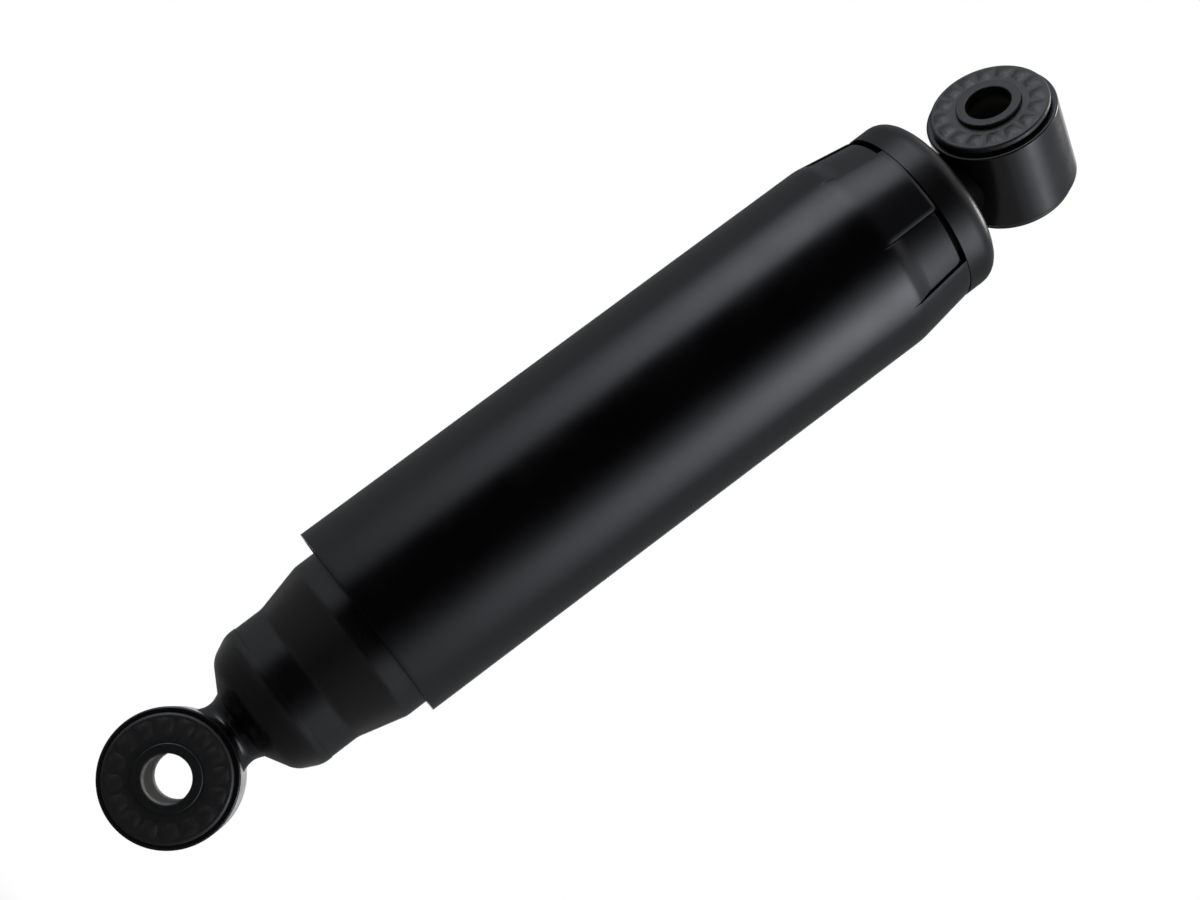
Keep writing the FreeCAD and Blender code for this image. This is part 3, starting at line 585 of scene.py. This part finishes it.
def rubber_grid(sizes):
    """Bush turned about Z, with pads on both flanges.

    A pad raises the flange by its height times two parabolas, one along the radius and one along the
    arc. Each is 1 in the middle of the pad and 0 at its edge, so that a pad is a low pillow.
    """
    sleeve_gap, eye_gap, face_skin = 0.04 * MM, 0.02 * MM, 0.1 * MM
    inner, middle = SLEEVE_R + sleeve_gap, EYE_R - sizes.wall - eye_gap
    root, edge = FLANGE_FACE - sizes.flange_thick, sizes.flange_edge
    half = [(inner, FLANGE_FACE), (FLANGE_R, FLANGE_FACE, edge), (FLANGE_R, root, edge), (middle, root)]
    corners = half + [(corner[0], -corner[1], *corner[2:]) for corner in reversed(half)]
    face, rim, back, tube = 48, 3, 5, 3
    profile = outline(corners, run_steps=[face, rim, back, tube, back, rim, face, tube])
    grid = turned(profile, PAD_COLUMNS * sizes.pads)
    radius = profile[:, :1]
    turn = np.linspace(0, sizes.pads, grid.shape[1], endpoint=False) % 1 - 0.5
    half_reach = sizes.pad_reach / 2
    from_centre = np.abs(radius - (FLANGE_R - sizes.pad_inset - half_reach)) / half_reach
    half_width = math.pi * radius / sizes.pads - sizes.pad_gap / 2
    from_middle = np.abs(turn) * 2 * math.pi * radius / sizes.pads / half_width
    along, across = (np.maximum(1 - share**2, 0) for share in (from_centre, from_middle))
    on_face = np.sign(profile[:, 1:]) * (np.abs(profile[:, 1:]) > FLANGE_FACE - face_skin)
    grid[..., 2] += on_face * sizes.pad_height * along * across
    return grid


def sleeve_profile(sizes):
    """Outline of the sleeve: a ring with rounded ends."""
    edge = sizes.sleeve_edge
    return outline([
        (SLEEVE_BORE_R, -SLEEVE_HALF, edge), (SLEEVE_R, -SLEEVE_HALF, edge),
        (SLEEVE_R, SLEEVE_HALF, edge), (SLEEVE_BORE_R, SLEEVE_HALF, edge),
    ])


def weld_grid(sizes, ground):
    """Weld neck from the eye up to what it stands on, closed by a disc inside each of them.

    At each angle the radius goes from the toe in to the waist and out to the other toe, by a power
    of the distance from mid height. The height goes from the round of the eye to the ground. Both
    toes carry ripples: rows of shallow arcs with cusps between them.
    """
    sink, power, toe = 0.4 * MM, 2.2, sizes.weld_toe
    side_rows, disc_rows = 33, 9
    ripple_start, ripple_full = 0.35, 0.8
    angle = even_angles(WELD_COLUMNS)
    share = np.linspace(0, 1, side_rows)[:, None]
    from_middle = np.abs(2 * share - 1)
    ripples = round(2 * math.pi * toe / sizes.ripple_pitch)
    at_toes = smooth(from_middle, ripple_start, ripple_full)
    ripple = np.abs(np.sin(ripples * angle / 2)) * at_toes * sizes.weld_ripple
    side = sizes.weld_waist + (toe - sizes.weld_waist) * from_middle**power + ripple
    disc = np.linspace(0, 1, disc_rows)[:, None]
    radius = np.vstack([disc * side[:1], side, disc[::-1] * side[-1:]])
    climb = np.vstack([0 * disc, share, 0 * disc + 1])
    eye_top = np.sqrt(EYE_R**2 - (radius * np.cos(angle)) ** 2) - sink
    height = eye_top + climb * (ground(radius) + sink - eye_top)
    return about_z(radius, angle, height)


def base_line(sizes):
    """Bend line of the base: flat middle, dish, turned-up side."""
    dish_r, dish_z = BASE_R - sizes.dish_inset, BASE_Z + sizes.dish_rise
    return [
        (0.0, BASE_Z),
        (sizes.base_flat, BASE_Z, sizes.press_round),
        (dish_r, dish_z, sizes.press_round),
        (BASE_R, dish_z + sizes.side_rise, sizes.press_round),
        (BASE_R, SEAM_Z),
    ]


def reservoir_line(sizes):
    """Bend line of the reservoir tube: neck, taper, long body, rolled end."""
    neck_r, taper_z = BASE_R - sizes.neck_inset, SEAM_Z + sizes.neck_length
    return [
        (neck_r, SEAM_Z),
        (neck_r, taper_z, sizes.press_round),
        (RESERVOIR_R, taper_z + sizes.taper_length, sizes.press_round),
        (RESERVOIR_R, RESERVOIR_TOP_Z, sizes.roll_round),
        (RESERVOIR_R - sizes.roll_reach, RESERVOIR_TOP_Z),
    ]


def cap_line(sizes):
    """Bend line of the upper cap: bead, groove, deep flange, top."""
    bead_top, flange_z = BEAD_Z + sizes.bead_height, CAP_TOP_Z - sizes.cap_height
    return [
        (sizes.bead_radius, BEAD_Z),
        (sizes.bead_radius, bead_top),
        (sizes.groove_radius, bead_top),
        (sizes.groove_radius, flange_z),
        (CAP_R, flange_z),
        (CAP_R, CAP_TOP_Z, sizes.cap_edge),
        (sizes.spigot_radius, CAP_TOP_Z),
    ]


def dust_grid(sizes):
    """Dust tube turned about Z, with a ring of panels and set-back tongues at its coned end.

    The outline gives a plain coned tube, cut a little shorter where there is a tongue. Its radius is
    then held to a limit: the cone, less a drop that depends on the angle and the height. On a panel
    the drop eases the edges by a power of the distance to the nearest edge, with round corners. On a
    tongue it is the step, and a small ease. In a slit it is most of the wall. Columns crowd round the
    slits. The lean moves each height aside by its distance from the snap ring.
    """
    cone_z, end_r = DUST_END_Z - sizes.cone_length, DUST_R - sizes.cone_drop
    slope = sizes.cone_drop / sizes.cone_length
    bend, bore_r = sizes.cone_round / math.atan(slope), DUST_R - sizes.wall
    outside, cone, end, cone_bore, bore, mouth = 12, 84, 4, 4, 8, 3
    profile = outline([
        (DUST_R, DUST_Z), (DUST_R, cone_z, bend), (end_r, DUST_END_Z),
        (end_r - sizes.wall, DUST_END_Z), (bore_r, cone_z, bend), (bore_r, DUST_Z),
    ], arc_steps=7, run_steps=[outside, cone, end, cone_bore, bore, mouth])

    # A few columns within half a slit, more that spread out over the crowd's reach, and plain ones
    middle_r, half = (DUST_R + end_r) / 2, sizes.slit / 2
    crowd_reach, plain_columns = 3 * MM, 16
    within = half * np.linspace(0, 0.98, 4)
    beyond = half + crowd_reach * np.linspace(0.08, 1, 13) ** 1.7
    near = np.concatenate([within, beyond]) / middle_r
    pitch = 2 * math.pi / sizes.tongues
    fields = []
    for start, wide, is_tongue in (
        (0.0, sizes.tongue_angle, True), (sizes.tongue_angle, pitch - sizes.tongue_angle, False)
    ):
        plain = np.linspace(near[-1], wide - near[-1], plain_columns)[1:-1]
        local = np.concatenate([near, plain, wide - near[:0:-1]])
        to_side = np.minimum(local, wide - local) * middle_r
        fields.append(np.stack([start + local, to_side, 0 * local + is_tongue, local / wide]))
    turn, from_slit, on_tongue, across = np.hstack(fields)
    angle = (sizes.first_tongue + pitch * np.arange(sizes.tongues)[:, None] + turn).ravel()
    from_slit = np.tile(from_slit, sizes.tongues)
    on_tongue = np.tile(on_tongue, sizes.tongues) > 0
    across = np.tile(across, sizes.tongues)

    end_z = DUST_END_Z - np.where(on_tongue | (from_slit < half), sizes.tongue_short, 0)
    height = np.minimum(profile[:, 1:], end_z)
    from_end, from_side = end_z - height, from_slit - half
    corner = sizes.corner
    to_corner = corner - np.hypot(np.maximum(corner - from_side, 0), np.maximum(corner - from_end, 0))
    inside = np.clip(np.minimum(np.minimum(from_side, from_end), to_corner), 0, None)

    step_z, slit_depth, power = cone_z - MM, 0.9 * sizes.wall, 1.5
    lead_end, last_start = 0.25, 0.75
    ease_start, ease_full = -0.5 * MM, 1.5 * MM

    def ease(reach, fall):
        """How far the surface falls at each point's distance from the edge, steepest at the edge."""
        return fall * np.maximum(1 - inside / reach, 0) ** power

    above_slit_end = height - cone_z - sizes.slit
    more_drop = smooth(across, lead_end, last_start) * (sizes.panel_drop - sizes.panel_lead)
    on_panel = ease(sizes.panel_round, sizes.panel_lead + more_drop)
    on_panel = smooth(above_slit_end, ease_start, ease_full) * on_panel
    set_back = smooth(height, step_z, step_z + sizes.step_run) * sizes.step
    drop = np.where(on_tongue, set_back + ease(sizes.tongue_round, sizes.tongue_round), on_panel)
    in_slit = np.hypot(from_slit, np.minimum(above_slit_end - half, 0)) < half
    drop = np.where(in_slit, slit_depth, drop * (height > step_z))
    limit = np.minimum(DUST_R, DUST_R - slope * (height - cone_z)) - drop
    radius = np.minimum(profile[:, :1], limit)
    grid = about_z(radius, angle, height)
    grid[..., 0] -= math.tan(sizes.lean) * (DUST_END_Z - height)
    return grid


def star_grid(sizes, node, bore, hub):
    """Star spring about Z: a flat hub, and fingers that slope down to the valve plate.

    The rim swings between the hub and the finger tips by a smooth step of the cosine of the angle
    times the number of fingers. The height is level as far as the hub's edge, and then falls evenly.
    """
    low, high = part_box(node)
    thick, tip_r, rows, flank = sizes.spring_thick, high.x, 9, 0.35
    hub_z = high.z - thick
    angle = even_angles(FINGER_COLUMNS * sizes.fingers)
    rim = thick + (tip_r - hub - thick) * smooth(-np.cos(sizes.fingers * angle), 0.0, flank)
    share = np.linspace(0, 1, rows)[:, None]
    radius = np.vstack([bore + 0 * angle, hub + share * rim])
    height = hub_z - np.maximum(radius - hub, 0) * (hub_z - low.z) / (tip_r - hub)
    radius, height = np.vstack([radius, radius[::-1]]), np.vstack([height + thick, height[::-1]])
    return about_z(radius, angle, height)


# Operators

class SHOCK_OT_eye_rings(bpy.types.Operator):
    """Steel eye at each end, with the weld neck that carries it"""

    bl_idname = "shock.eye_rings"
    bl_label = "Eye rings"

    def execute(self, context):
        sizes, body = context.scene.shock_eyes, context.scene.shock_body
        slope = body.dish_rise / (BASE_R - body.dish_inset - body.base_flat)
        ring = along_bore(turned(eye_profile(sizes), EYE_COLUMNS))

        def dish(radius):
            """Underside of the base at a radius."""
            return BASE_Z + np.maximum(radius - body.base_flat, 0) * slope

        def cap_top(radius):
            """Top of the upper cap, seen from the upper eye."""
            return EYE_R + sizes.upper_gap + 0 * radius

        for end, place, ground, rider, paint in (
            ("lower", LOWER_EYE, dish, "cylinder", "painted_steel"),
            # The upper weld takes the glossless copy of the paint: painted shade
            ("upper", UPPER_EYE, cap_top, "rod", "shaded_weld_paint"),
        ):
            add_piece(f"{end}_eye", placed(ring, place), rider, finish("painted_steel"),
                      [f"{end}_eye_ring"])
            neck = placed(weld_grid(sizes, ground), place)
            add_piece(f"{end}_eye_weld", neck, rider, finish(paint))
        return {"FINISHED"}


class SHOCK_OT_bushes(bpy.types.Operator):
    """Rubber bush and steel sleeve in each eye"""

    bl_idname = "shock.bushes"
    bl_label = "Bushes"

    def execute(self, context):
        sizes, colours = context.scene.shock_eyes, context.scene.shock_colours
        rubber = along_bore(rubber_grid(sizes))
        sleeve = along_bore(turned(sleeve_profile(sizes), SLEEVE_COLUMNS))
        # Each bore's depth gets its painted tone: painted light in the lower eye, painted shade in the upper
        # eye
        for end, place, turn, height, depth, rider in (
            ("lower", LOWER_EYE, 0.0, 0.0, colours.bore_depth_painted_light, "cylinder"),
            ("upper", UPPER_EYE, UPPER_EYE_TURN, UPPER_EYE_Z, colours.bore_depth_painted_shade, "rod"),
        ):
            add_piece(f"{end}_bush", placed(rubber, place), rider, finish("bush_rubber"),
                      [f"{end}_bush_rubber"])
            add_piece(f"{end}_sleeve", placed(sleeve, place), f"{end}_sleeve",
                      turned_steel(turn, height, depth), [f"{end}_bush_sleeve"])
        return {"FINISHED"}


class SHOCK_OT_steel_body(bpy.types.Operator):
    """Pressed steel base, reservoir tube and upper cap"""

    bl_idname = "shock.steel_body"
    bl_label = "Steel body"

    def execute(self, context):
        sizes = context.scene.shock_body
        for name, node, line, wall, rider, paint in (
            ("base", "base_cap", base_line, sizes.base_wall, "cylinder", "painted_steel"),
            ("reservoir", "reservoir_tube", reservoir_line, sizes.tube_wall, "cylinder", "painted_steel"),
            ("cap", "upper_cap", cap_line, sizes.cap_wall, "rod", "satin_steel"),
        ):
            grid = turned(outline(pressed(line(sizes), wall)), BODY_COLUMNS)
            add_piece(name, grid, rider, finish(paint), [node])
        return {"FINISHED"}


class SHOCK_OT_dust_tube(bpy.types.Operator):
    """Plastic dust tube with its ring of snap tongues"""

    bl_idname = "shock.dust_tube"
    bl_label = "Dust tube"

    def execute(self, context):
        add_piece("dust_cover", dust_grid(context.scene.shock_dust), "rod",
                  finish("dust_plastic"), ["dust_tube"])
        return {"FINISHED"}


class SHOCK_OT_star_springs(bpy.types.Operator):
    """Star springs of the two check valves"""

    bl_idname = "shock.star_springs"
    bl_label = "Star springs"

    def execute(self, context):
        sizes = context.scene.shock_valves
        for name, node, body, joint, bore, hub in (
            ("foot_star_spring", "base_check_spring", "cylinder", "base_check_lift",
             sizes.foot_bore, sizes.foot_hub),
            ("piston_star_spring", "piston_check_spring", "rod", "piston_check_lift",
             sizes.piston_bore, sizes.piston_hub),
        ):
            grid = star_grid(sizes, node, bore, hub)
            spring = add_piece(name, grid, body, finish("spring_steel"), [node])
            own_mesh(spring)
        return {"FINISHED"}


class SHOCK_OT_inner_works(bpy.types.Operator):
    """Finishes of the pieces inside: rod, piston, valves, guide and seal"""

    bl_idname = "shock.inner_works"
    bl_label = "Inner works"

    def execute(self, context):
        for part in frame["record"]["subparts"]:
            node = frame["nodes"][part["node"]]
            if not node.hide_render:
                node.data.materials.clear()
                node.data.materials.append(finish(part["material_slot"]))
        return {"FINISHED"}


def add_stage(name, grid, material):
    """Makes an open grid into a piece of the stage."""
    rows, columns, _ = grid.shape
    index = np.arange(rows * columns).reshape(rows, columns)
    corners = index[:-1, :-1], index[:-1, 1:], index[1:, 1:], index[1:, :-1]
    quads = np.stack(corners, axis=-1).reshape(-1, 4)
    mesh = bpy.data.meshes.new(name)
    mesh.from_pydata(grid.reshape(-1, 3).tolist(), [], quads.tolist())
    mesh.materials.append(material)
    material.cycles.emission_sampling = "NONE"
    made = bpy.data.objects.new(name, mesh)
    bpy.context.scene.collection.objects.link(made)
    return made


def seen_white(tree):
    """1 for what the camera, a gloss or glass sees, and 0 for light that only falls on things."""
    path = add_node(tree, "LightPath").outputs
    seen = path["Is Camera Ray"]
    for other in ("Is Glossy Ray", "Is Transmission Ray"):
        seen = add_node(tree, "Math", {0: seen, 1: path[other]}, operation="MAXIMUM").outputs[0]
    return seen


def ramp(tree, share, stops):
    """A grey level that runs straight from stop to stop, each a place from 0 to 1 and a level."""
    made = add_node(tree, "ValToRGB", {"Fac": share})
    elements = made.color_ramp.elements
    for place, _ in stops[1:-1]:
        elements.new(place)
    for element, (place, level) in zip(elements, stops):
        element.position, element.color = place, (level, level, level, 1)
    return made.outputs["Color"]


# Radius and height of the round studio wall, in metres
WALL_R, WALL_TOP = 1.5, 2.2
# Shade of the wall by degrees from the viewer's side, positive to the right
WALL_SHADE = [
    (-180, 0.08), (-130, 0.24), (-85, 0.59), (-53, 0.57), (-35, 0.0),
    (19, 0.0), (35, 0.12), (55, 0.6), (85, 0.63), (130, 0.25), (180, 0.08),
]
# Glows on it, each by degrees and by metres of height: left softbox, right softbox and ceiling
WALL_GLOWS = (
    (
        [(-180, 0.0), (-93, 0.0), (-66, 0.7), (-49, 0.7), (-39, 0.0), (180, 0.0)],
        [(0.0, 0.0), (0.1, 0.0), (0.45, 0.34), (0.57, 0.57),
         (0.7, 1.05), (0.9, 1.05), (1.3, 0.52), (WALL_TOP, 0.1)],
    ),
    (
        [(-180, 0.0), (26, 0.0), (43, 0.26), (62, 1.06), (73, 1.06), (101, 0.0), (180, 0.0)],
        [(0.0, 0.0), (0.1, 0.0), (0.45, 0.36), (0.57, 0.47),
         (0.7, 1.1), (0.9, 0.85), (1.3, 0.2), (WALL_TOP, 0.05)],
    ),
    (
        [(-180, 1.0), (180, 1.0)],
        [(0.0, 0.0), (0.95, 0.0), (1.3, 0.02), (WALL_TOP, 0.03)],
    ),
)


class SHOCK_OT_stage(bpy.types.Operator):
    """Pale floor, room, softboxes, studio wall and camera"""

    bl_idname = "shock.stage"
    bl_label = "Stage"

    def execute(self, context):
        settings = context.scene.shock_stage
        self.light_room(context, settings)
        self.lay_floor(context, settings)
        self.hang_wall(context, settings)
        self.hang_lamps(context, settings)
        self.set_camera(context, settings)
        return {"FINISHED"}

    def light_room(self, context, settings):
        """White room to the eye, with a lower level for the light that it gives."""
        world = bpy.data.worlds.new("white_room")
        world.use_nodes = True
        tree = world.node_tree
        tree.nodes.clear()
        fill = add_node(tree, "Background", {"Color": WHITE, "Strength": settings.fill_level})
        white = add_node(tree, "Background", {"Color": WHITE, "Strength": 1.0})
        mixed = add_node(tree, "MixShader", {0: seen_white(tree), 1: fill.outputs[0], 2: white.outputs[0]})
        add_node(tree, "OutputWorld", {"Surface": mixed.outputs[0]})
        context.scene.world = world

    def lay_floor(self, context, settings):
        """Pale floor that keeps the shadow near the shock and runs out into the white of the room."""
        material, tree, place = begin_material("pale_painted_board")
        near, far, edge, tiles = 0.3, 0.7, 6, 6
        flat = add_node(tree, "VectorMath", {0: place, 1: (1, 1, 0)}, operation="MULTIPLY").outputs["Vector"]
        away = add_node(tree, "VectorMath", {0: flat}, operation="LENGTH").outputs["Value"]
        reach = {"Value": away, "From Min": near, "From Max": far}
        fade = add_node(tree, "MapRange", reach, interpolation_type="SMOOTHSTEP").outputs["Result"]
        noise = add_node(tree, "TexNoise", {"Vector": place, "Scale": per(2.0), "Detail": 2.0})
        rough = spread(tree, noise.outputs["Fac"], 0.75, 0.85)
        pale = context.scene.shock_colours.floor
        board = add_node(tree, "BsdfPrincipled", {"Base Color": pale, "Roughness": rough})
        white = add_node(tree, "Emission", {"Color": WHITE, "Strength": 1.0})
        share = add_node(tree, "Math", {0: fade, 1: seen_white(tree)}, operation="MULTIPLY").outputs[0]
        mixed = add_node(tree, "MixShader", {0: share, 1: board.outputs[0], 2: white.outputs[0]})
        add_node(tree, "OutputMaterial", {"Surface": mixed.outputs[0]})
        ends = np.linspace(-edge, edge, tiles + 1)
        x, y = np.meshgrid(ends, ends)
        add_stage("floor", np.stack([x, y, 0 * x - settings.floor_drop], axis=-1), material)

    def hang_wall(self, context, settings):
        """Round wall and a mat on the floor that only gloss sees: they give the reflections their shades.

        The wall is open straight behind. Its level is its own shade, plus each glow's level at that
        angle times its level at that height. The mat is darkest in the middle.
        """
        half_turn, columns = 167, 73
        dark_within, pale_beyond, dark, pale = 0.05, 0.5, 0.1, 0.27
        material, tree, place = begin_material("graded_studio_wall")
        axes = add_node(tree, "SeparateXYZ", {"Vector": place}).outputs
        towards = add_node(tree, "Math", {0: axes["Y"], 1: -1.0}, operation="MULTIPLY").outputs[0]
        turn = add_node(tree, "Math", {0: axes["X"], 1: towards}, operation="ARCTAN2").outputs[0]
        whole_turn = {"Value": turn, "From Min": -math.pi, "From Max": math.pi}
        share = add_node(tree, "MapRange", whole_turn).outputs["Result"]
        climb = add_node(tree, "MapRange", {"Value": axes["Z"], "From Max": WALL_TOP}).outputs["Result"]

        def around(stops):
            """Levels by the angle round the wall."""
            return ramp(tree, share, [((degrees + 180) / 360, strength) for degrees, strength in stops])

        level = around(WALL_SHADE)
        for sides, heights in WALL_GLOWS:
            lift = ramp(tree, climb, [(height / WALL_TOP, strength) for height, strength in heights])
            glow = add_node(tree, "Math", {0: around(sides), 1: lift}, operation="MULTIPLY").outputs[0]
            summed = {0: glow, 1: settings.lamp_level, 2: level}
            level = add_node(tree, "Math", summed, operation="MULTIPLY_ADD").outputs[0]
        glow = add_node(tree, "Emission", {"Color": context.scene.shock_colours.glow, "Strength": level})
        add_node(tree, "OutputMaterial", {"Surface": glow.outputs[0]})
        angle = np.radians(np.linspace(-half_turn, half_turn, columns))
        angle, height = np.meshgrid(angle, [-settings.floor_drop, WALL_TOP])
        wall = np.stack([WALL_R * np.sin(angle), -WALL_R * np.cos(angle), height], axis=-1)
        hidden = [add_stage("studio_wall", wall, material)]

        material, tree, place = begin_material("graded_floor_mat")
        aside = add_node(tree, "SeparateXYZ", {"Vector": place}).outputs["X"]
        aside = add_node(tree, "Math", {0: aside}, operation="ABSOLUTE").outputs[0]
        level = add_node(tree, "MapRange", {
            "Value": aside, "From Min": dark_within, "From Max": pale_beyond, "To Min": dark, "To Max": pale
        }).outputs["Result"]
        glow = add_node(tree, "Emission", {"Color": WHITE, "Strength": level})
        add_node(tree, "OutputMaterial", {"Surface": glow.outputs[0]})
        x, y = np.meshgrid([-WALL_R, WALL_R], [-WALL_R, WALL_R])
        mat = np.stack([x, y, 0 * x - settings.floor_drop + MM], axis=-1)
        hidden.append(add_stage("floor_mat", mat, material))
        for made in hidden:
            made.visible_camera = made.visible_diffuse = made.visible_shadow = False

    def hang_lamps(self, context, settings):
        """Two softboxes beside the viewer and one for the upper edges.

        The first two are hidden from gloss, which sees their glows on the wall instead.
        """
        far, target = 1.3, Vector((0, 0, UPPER_EYE_Z / 2))
        for name, angle, lift, wide, tall, share, in_gloss in (
            ("left_softbox", -62, 26, 0.5, 0.56, 0.8, False),
            ("right_softbox", 64, 26, 0.6, 0.56, 1.0, False),
            ("end_softbox", 140, 67, 0.3, 0.3, 2.5, True),
        ):
            turn, climb = math.radians(angle), math.radians(lift)
            flat = math.cos(climb)
            way = Vector((math.sin(turn) * flat, -math.cos(turn) * flat, math.sin(climb)))
            lamp = bpy.data.lights.new(name, "AREA")
            lamp.shape, lamp.size, lamp.size_y = "RECTANGLE", wide, tall
            lamp.energy = share * settings.lamp_level * math.pi * wide * tall
            made = bpy.data.objects.new(name, lamp)
            made.visible_glossy = in_gloss
            made.location = target + way * far
            made.rotation_euler = way.to_track_quat("Z", "Y").to_euler()
            context.scene.collection.objects.link(made)

    def set_camera(self, context, settings):
        """Camera at the photograph's view, from where the shock lies in the camera's own axes."""
        slant, tilt, turn = math.radians(37.2), math.radians(-8.19), math.radians(-1.8)
        distance, aside, below_middle = 0.7768, 0.71 * MM, 182.47 * MM
        along = Vector((math.cos(tilt) * math.cos(slant), math.cos(tilt) * math.sin(slant), math.sin(tilt)))
        facing = (Vector((0, 0, 1)) - along * along.z).normalized()
        bore = -(facing * math.cos(turn) + along.cross(facing) * math.sin(turn))
        middle = Vector((math.sin(slant) * aside, -math.cos(slant) * aside, -distance))
        turned_back = Matrix((bore.cross(along), bore, along))
        lower_eye = middle - along * below_middle
        data = bpy.data.cameras.new("camera")
        data.lens, data.clip_start, data.clip_end = settings.focal, 0.05, 50
        camera = bpy.data.objects.new("camera", data)
        camera.matrix_world = Matrix.Translation(turned_back @ -lower_eye) @ turned_back.to_4x4()
        context.scene.collection.objects.link(camera)
        context.scene.camera = camera
        context.scene.view_settings.view_transform = "Standard"


BUILD_ORDER = (
    SHOCK_OT_eye_rings,
    SHOCK_OT_bushes,
    SHOCK_OT_steel_body,
    SHOCK_OT_dust_tube,
    SHOCK_OT_star_springs,
    SHOCK_OT_inner_works,
    SHOCK_OT_stage,
)


class SHOCK_PT_build(bpy.types.Panel):
    """Lists the pieces, their sizes and their colours"""

    bl_label = "Shock absorber"
    bl_idname = "SHOCK_PT_build"
    bl_space_type = "VIEW_3D"
    bl_region_type = "UI"
    bl_category = "Shock"

    def draw(self, context):
        for operator in BUILD_ORDER:
            self.layout.operator(operator.bl_idname)
        for group, settings in SETTINGS.items():
            box = self.layout.box()
            for name in settings.__annotations__:
                box.prop(getattr(context.scene, group), name)


CLASSES = (*SETTINGS.values(), *BUILD_ORDER, SHOCK_PT_build)


def register():
    for made in CLASSES:
        bpy.utils.register_class(made)
    for name, settings in SETTINGS.items():
        setattr(bpy.types.Scene, name, bpy.props.PointerProperty(type=settings))


def unregister():
    for name in SETTINGS:
        delattr(bpy.types.Scene, name)
    for made in reversed(CLASSES):
        bpy.utils.unregister_class(made)


def main():
    register()
    bpy.ops.shock.eye_rings()
    bpy.ops.shock.bushes()
    bpy.ops.shock.steel_body()
    bpy.ops.shock.dust_tube()
    bpy.ops.shock.star_springs()
    bpy.ops.shock.inner_works()
    bpy.ops.shock.stage()


if __name__ == "__main__":
    main()
